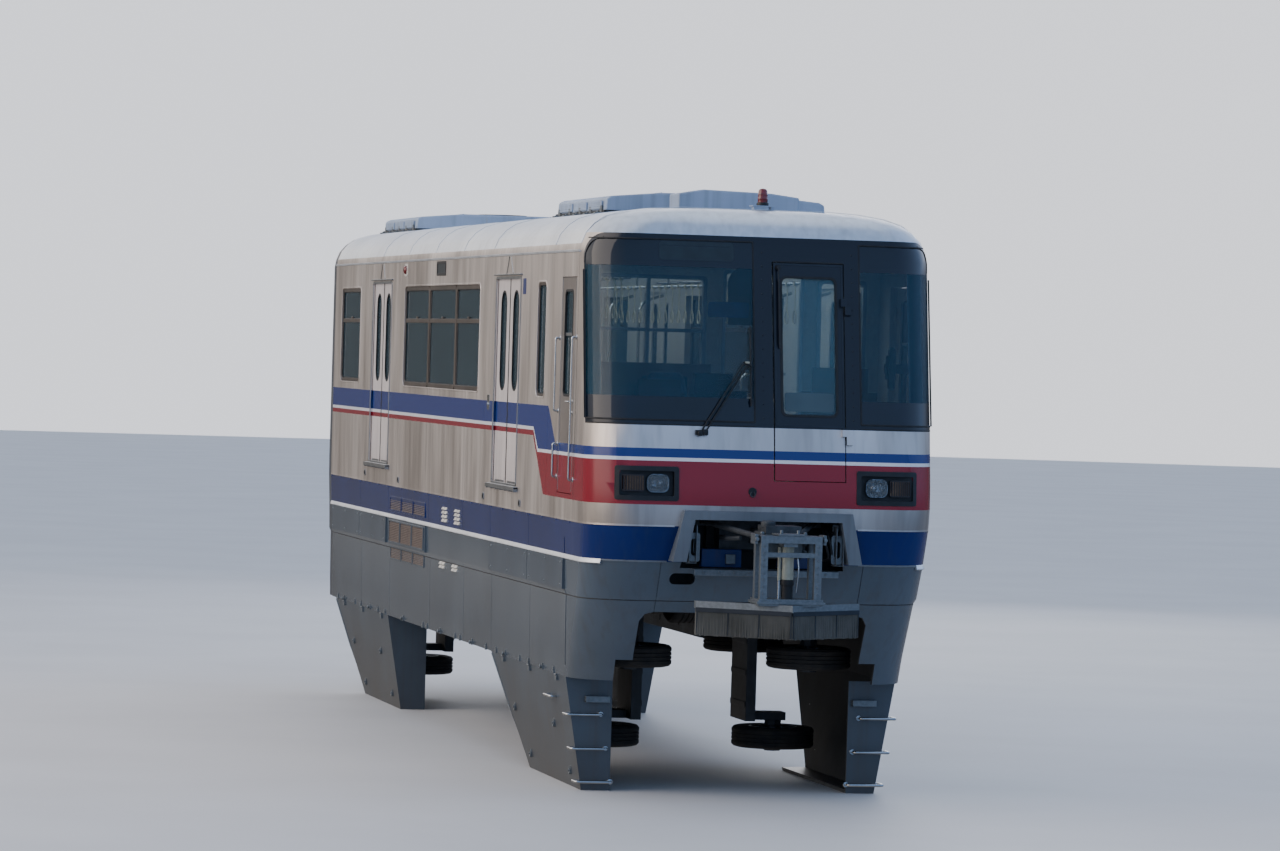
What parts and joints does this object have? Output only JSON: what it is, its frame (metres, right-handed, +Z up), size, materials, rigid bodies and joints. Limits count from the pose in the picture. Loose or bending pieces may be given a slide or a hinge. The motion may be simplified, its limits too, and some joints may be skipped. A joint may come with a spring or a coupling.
{
  "type": "straddle monorail cab car",
  "caption": "Straddle-type monorail cab car with sliding side doors, hinged cab doors, bogies with running, guide and stabilising wheels, and a beam brush at the front.",
  "frame": {"origin": "middle of the footprint, at the flat bottoms of the four bogie covers", "axes": "+Z up, the cab front faces -Y, +X is the left side of the car"},
  "size_m": [2.98, 15.65, 5.12],
  "materials": {
    "brushed_body_steel": "brushed",
    "pale_roof_steel": "satin",
    "dark_mask": "gloss",
    "tinted_glass": "gloss",
    "skirt_grey": "satin",
    "door_steel": "satin",
    "tyre_rubber": "matte",
    "frame_paint": "matte",
    "dark_grey_paint": "matte",
    "pale_metal": "satin",
    "coupler_steel": "matte",
    "brush_metal": "matte",
    "interior_panel": "matte",
    "seat_cloth": "matte"
  },
  "bodies": {
    "car_body": {"air_unit_front": "pale_metal", "air_unit_rear": "pale_metal", "beam_brush": "brush_metal", "bench_left": "seat_cloth", "bench_right": "seat_cloth", "bogie_cover_front_left": "skirt_grey", "bogie_cover_front_right": "skirt_grey", "bogie_cover_rear_left": "skirt_grey", "bogie_cover_rear_right": "skirt_grey", "bolster_front": "dark_grey_paint", "bolster_rear": "dark_grey_paint", "cab_bulkhead": "interior_panel", "cab_front": "dark_mask", "coupler": "coupler_steel", "driver_console": "dark_grey_paint", "driver_seat": "seat_cloth", "equipment_case_left": "frame_paint", "equipment_case_right": "frame_paint", "floor": "dark_grey_paint", "front_skirt": "skirt_grey", "gangway_fairing": "dark_grey_paint", "rear_end_wall": "pale_metal", "roof": "pale_roof_steel", "side_skirt_left": "skirt_grey", "side_skirt_right": "skirt_grey", "side_wall_left": "brushed_body_steel", "side_wall_right": "brushed_body_steel", "window_middle_left": "tinted_glass", "window_middle_right": "tinted_glass", "windscreen_left": "tinted_glass", "windscreen_right": "tinted_glass"},
    "axle_front_aft": {"axle_front_aft": "tyre_rubber"},
    "axle_front_fore": {"axle_front_fore": "tyre_rubber"},
    "axle_rear_aft": {"axle_rear_aft": "tyre_rubber"},
    "axle_rear_fore": {"axle_rear_fore": "tyre_rubber"},
    "bogie_front": {"bogie_front": "frame_paint"},
    "bogie_rear": {"bogie_rear": "frame_paint"},
    "cab_door_left": {"cab_door_left": "door_steel"},
    "cab_door_right": {"cab_door_right": "door_steel"},
    "door_front_left_aft": {"door_front_left_aft": "door_steel"},
    "door_front_left_fore": {"door_front_left_fore": "door_steel"},
    "door_front_right_aft": {"door_front_right_aft": "door_steel"},
    "door_front_right_fore": {"door_front_right_fore": "door_steel"},
    "door_rear_left_aft": {"door_rear_left_aft": "door_steel"},
    "door_rear_left_fore": {"door_rear_left_fore": "door_steel"},
    "door_rear_right_aft": {"door_rear_right_aft": "door_steel"},
    "door_rear_right_fore": {"door_rear_right_fore": "door_steel"},
    "emergency_door": {"emergency_door": "dark_mask"},
    "guide_wheel_front_left_aft": {"guide_wheel_front_left_aft": "tyre_rubber"},
    "guide_wheel_front_left_fore": {"guide_wheel_front_left_fore": "tyre_rubber"},
    "guide_wheel_front_right_aft": {"guide_wheel_front_right_aft": "tyre_rubber"},
    "guide_wheel_front_right_fore": {"guide_wheel_front_right_fore": "tyre_rubber"},
    "guide_wheel_rear_left_aft": {"guide_wheel_rear_left_aft": "tyre_rubber"},
    "guide_wheel_rear_left_fore": {"guide_wheel_rear_left_fore": "tyre_rubber"},
    "guide_wheel_rear_right_aft": {"guide_wheel_rear_right_aft": "tyre_rubber"},
    "guide_wheel_rear_right_fore": {"guide_wheel_rear_right_fore": "tyre_rubber"},
    "stabiliser_front_left": {"stabiliser_front_left": "tyre_rubber"},
    "stabiliser_front_right": {"stabiliser_front_right": "tyre_rubber"},
    "stabiliser_rear_left": {"stabiliser_rear_left": "tyre_rubber"},
    "stabiliser_rear_right": {"stabiliser_rear_right": "tyre_rubber"}
  },
  "joints": [
    {"name": "door_front_right_fore_slide", "type": "slide", "parent": "car_body", "child": "door_front_right_fore", "axis": [0, -1, 0], "range_m": [0, 0.56]},
    {"name": "door_front_right_aft_slide", "type": "slide", "parent": "car_body", "child": "door_front_right_aft", "axis": [0, 1, 0], "range_m": [0, 0.56]},
    {"name": "door_front_left_fore_slide", "type": "slide", "parent": "car_body", "child": "door_front_left_fore", "axis": [0, -1, 0], "range_m": [0, 0.56]},
    {"name": "door_front_left_aft_slide", "type": "slide", "parent": "car_body", "child": "door_front_left_aft", "axis": [0, 1, 0], "range_m": [0, 0.56]},
    {"name": "door_rear_right_fore_slide", "type": "slide", "parent": "car_body", "child": "door_rear_right_fore", "axis": [0, -1, 0], "range_m": [0, 0.56]},
    {"name": "door_rear_right_aft_slide", "type": "slide", "parent": "car_body", "child": "door_rear_right_aft", "axis": [0, 1, 0], "range_m": [0, 0.56]},
    {"name": "door_rear_left_fore_slide", "type": "slide", "parent": "car_body", "child": "door_rear_left_fore", "axis": [0, -1, 0], "range_m": [0, 0.56]},
    {"name": "door_rear_left_aft_slide", "type": "slide", "parent": "car_body", "child": "door_rear_left_aft", "axis": [0, 1, 0], "range_m": [0, 0.56]},
    {"name": "cab_door_right_hinge", "type": "hinge", "parent": "car_body", "child": "cab_door_right", "pos_m": [-1.44, -5.311, 3.4], "axis": [0, 0, 1], "range_deg": [0, 85]},
    {"name": "cab_door_left_hinge", "type": "hinge", "parent": "car_body", "child": "cab_door_left", "pos_m": [1.44, -5.311, 3.4], "axis": [0, 0, -1], "range_deg": [0, 85]},
    {"name": "emergency_door_hinge", "type": "hinge", "parent": "car_body", "child": "emergency_door", "pos_m": [0.675, -6.853, 2.69], "axis": [0, 0.1757, 0.9844], "range_deg": [0, 95]},
    {"name": "bogie_front_pivot", "type": "hinge", "parent": "car_body", "child": "bogie_front", "pos_m": [0, -3.915, 2.1], "axis": [0, 0, 1], "range_deg": [-3, 3]},
    {"name": "axle_front_fore_spin", "type": "hinge", "parent": "bogie_front", "child": "axle_front_fore", "pos_m": [0, -4.665, 1.88], "axis": [1, 0, 0], "continuous": true},
    {"name": "axle_front_aft_spin", "type": "hinge", "parent": "bogie_front", "child": "axle_front_aft", "pos_m": [0, -3.165, 1.88], "axis": [1, 0, 0], "continuous": true},
    {"name": "guide_wheel_front_right_fore_spin", "type": "hinge", "parent": "bogie_front", "child": "guide_wheel_front_right_fore", "pos_m": [-0.79, -5.165, 1.127], "axis": [0, 0, 1], "continuous": true},
    {"name": "guide_wheel_front_right_aft_spin", "type": "hinge", "parent": "bogie_front", "child": "guide_wheel_front_right_aft", "pos_m": [-0.79, -2.665, 1.127], "axis": [0, 0, 1], "continuous": true},
    {"name": "stabiliser_front_right_spin", "type": "hinge", "parent": "bogie_front", "child": "stabiliser_front_right", "pos_m": [-0.79, -3.915, 0.35], "axis": [0, 0, 1], "continuous": true},
    {"name": "guide_wheel_front_left_fore_spin", "type": "hinge", "parent": "bogie_front", "child": "guide_wheel_front_left_fore", "pos_m": [0.79, -5.165, 1.127], "axis": [0, 0, 1], "continuous": true},
    {"name": "guide_wheel_front_left_aft_spin", "type": "hinge", "parent": "bogie_front", "child": "guide_wheel_front_left_aft", "pos_m": [0.79, -2.665, 1.127], "axis": [0, 0, 1], "continuous": true},
    {"name": "stabiliser_front_left_spin", "type": "hinge", "parent": "bogie_front", "child": "stabiliser_front_left", "pos_m": [0.79, -3.915, 0.35], "axis": [0, 0, 1], "continuous": true},
    {"name": "bogie_rear_pivot", "type": "hinge", "parent": "car_body", "child": "bogie_rear", "pos_m": [0, 5.685, 2.1], "axis": [0, 0, 1], "range_deg": [-3, 3]},
    {"name": "axle_rear_fore_spin", "type": "hinge", "parent": "bogie_rear", "child": "axle_rear_fore", "pos_m": [0, 4.935, 1.88], "axis": [1, 0, 0], "continuous": true},
    {"name": "axle_rear_aft_spin", "type": "hinge", "parent": "bogie_rear", "child": "axle_rear_aft", "pos_m": [0, 6.435, 1.88], "axis": [1, 0, 0], "continuous": true},
    {"name": "guide_wheel_rear_right_fore_spin", "type": "hinge", "parent": "bogie_rear", "child": "guide_wheel_rear_right_fore", "pos_m": [-0.79, 4.435, 1.127], "axis": [0, 0, 1], "continuous": true},
    {"name": "guide_wheel_rear_right_aft_spin", "type": "hinge", "parent": "bogie_rear", "child": "guide_wheel_rear_right_aft", "pos_m": [-0.79, 6.935, 1.127], "axis": [0, 0, 1], "continuous": true},
    {"name": "stabiliser_rear_right_spin", "type": "hinge", "parent": "bogie_rear", "child": "stabiliser_rear_right", "pos_m": [-0.79, 5.685, 0.35], "axis": [0, 0, 1], "continuous": true},
    {"name": "guide_wheel_rear_left_fore_spin", "type": "hinge", "parent": "bogie_rear", "child": "guide_wheel_rear_left_fore", "pos_m": [0.79, 4.435, 1.127], "axis": [0, 0, 1], "continuous": true},
    {"name": "guide_wheel_rear_left_aft_spin", "type": "hinge", "parent": "bogie_rear", "child": "guide_wheel_rear_left_aft", "pos_m": [0.79, 6.935, 1.127], "axis": [0, 0, 1], "continuous": true},
    {"name": "stabiliser_rear_left_spin", "type": "hinge", "parent": "bogie_rear", "child": "stabiliser_rear_left", "pos_m": [0.79, 5.685, 0.35], "axis": [0, 0, 1], "continuous": true}
  ],
  "couplings": [
    {"joint": "door_front_right_aft_slide", "follows": "door_front_right_fore_slide", "ratio": 1},
    {"joint": "door_front_left_aft_slide", "follows": "door_front_left_fore_slide", "ratio": 1},
    {"joint": "door_rear_right_aft_slide", "follows": "door_rear_right_fore_slide", "ratio": 1},
    {"joint": "door_rear_left_aft_slide", "follows": "door_rear_left_fore_slide", "ratio": 1}
  ]
}
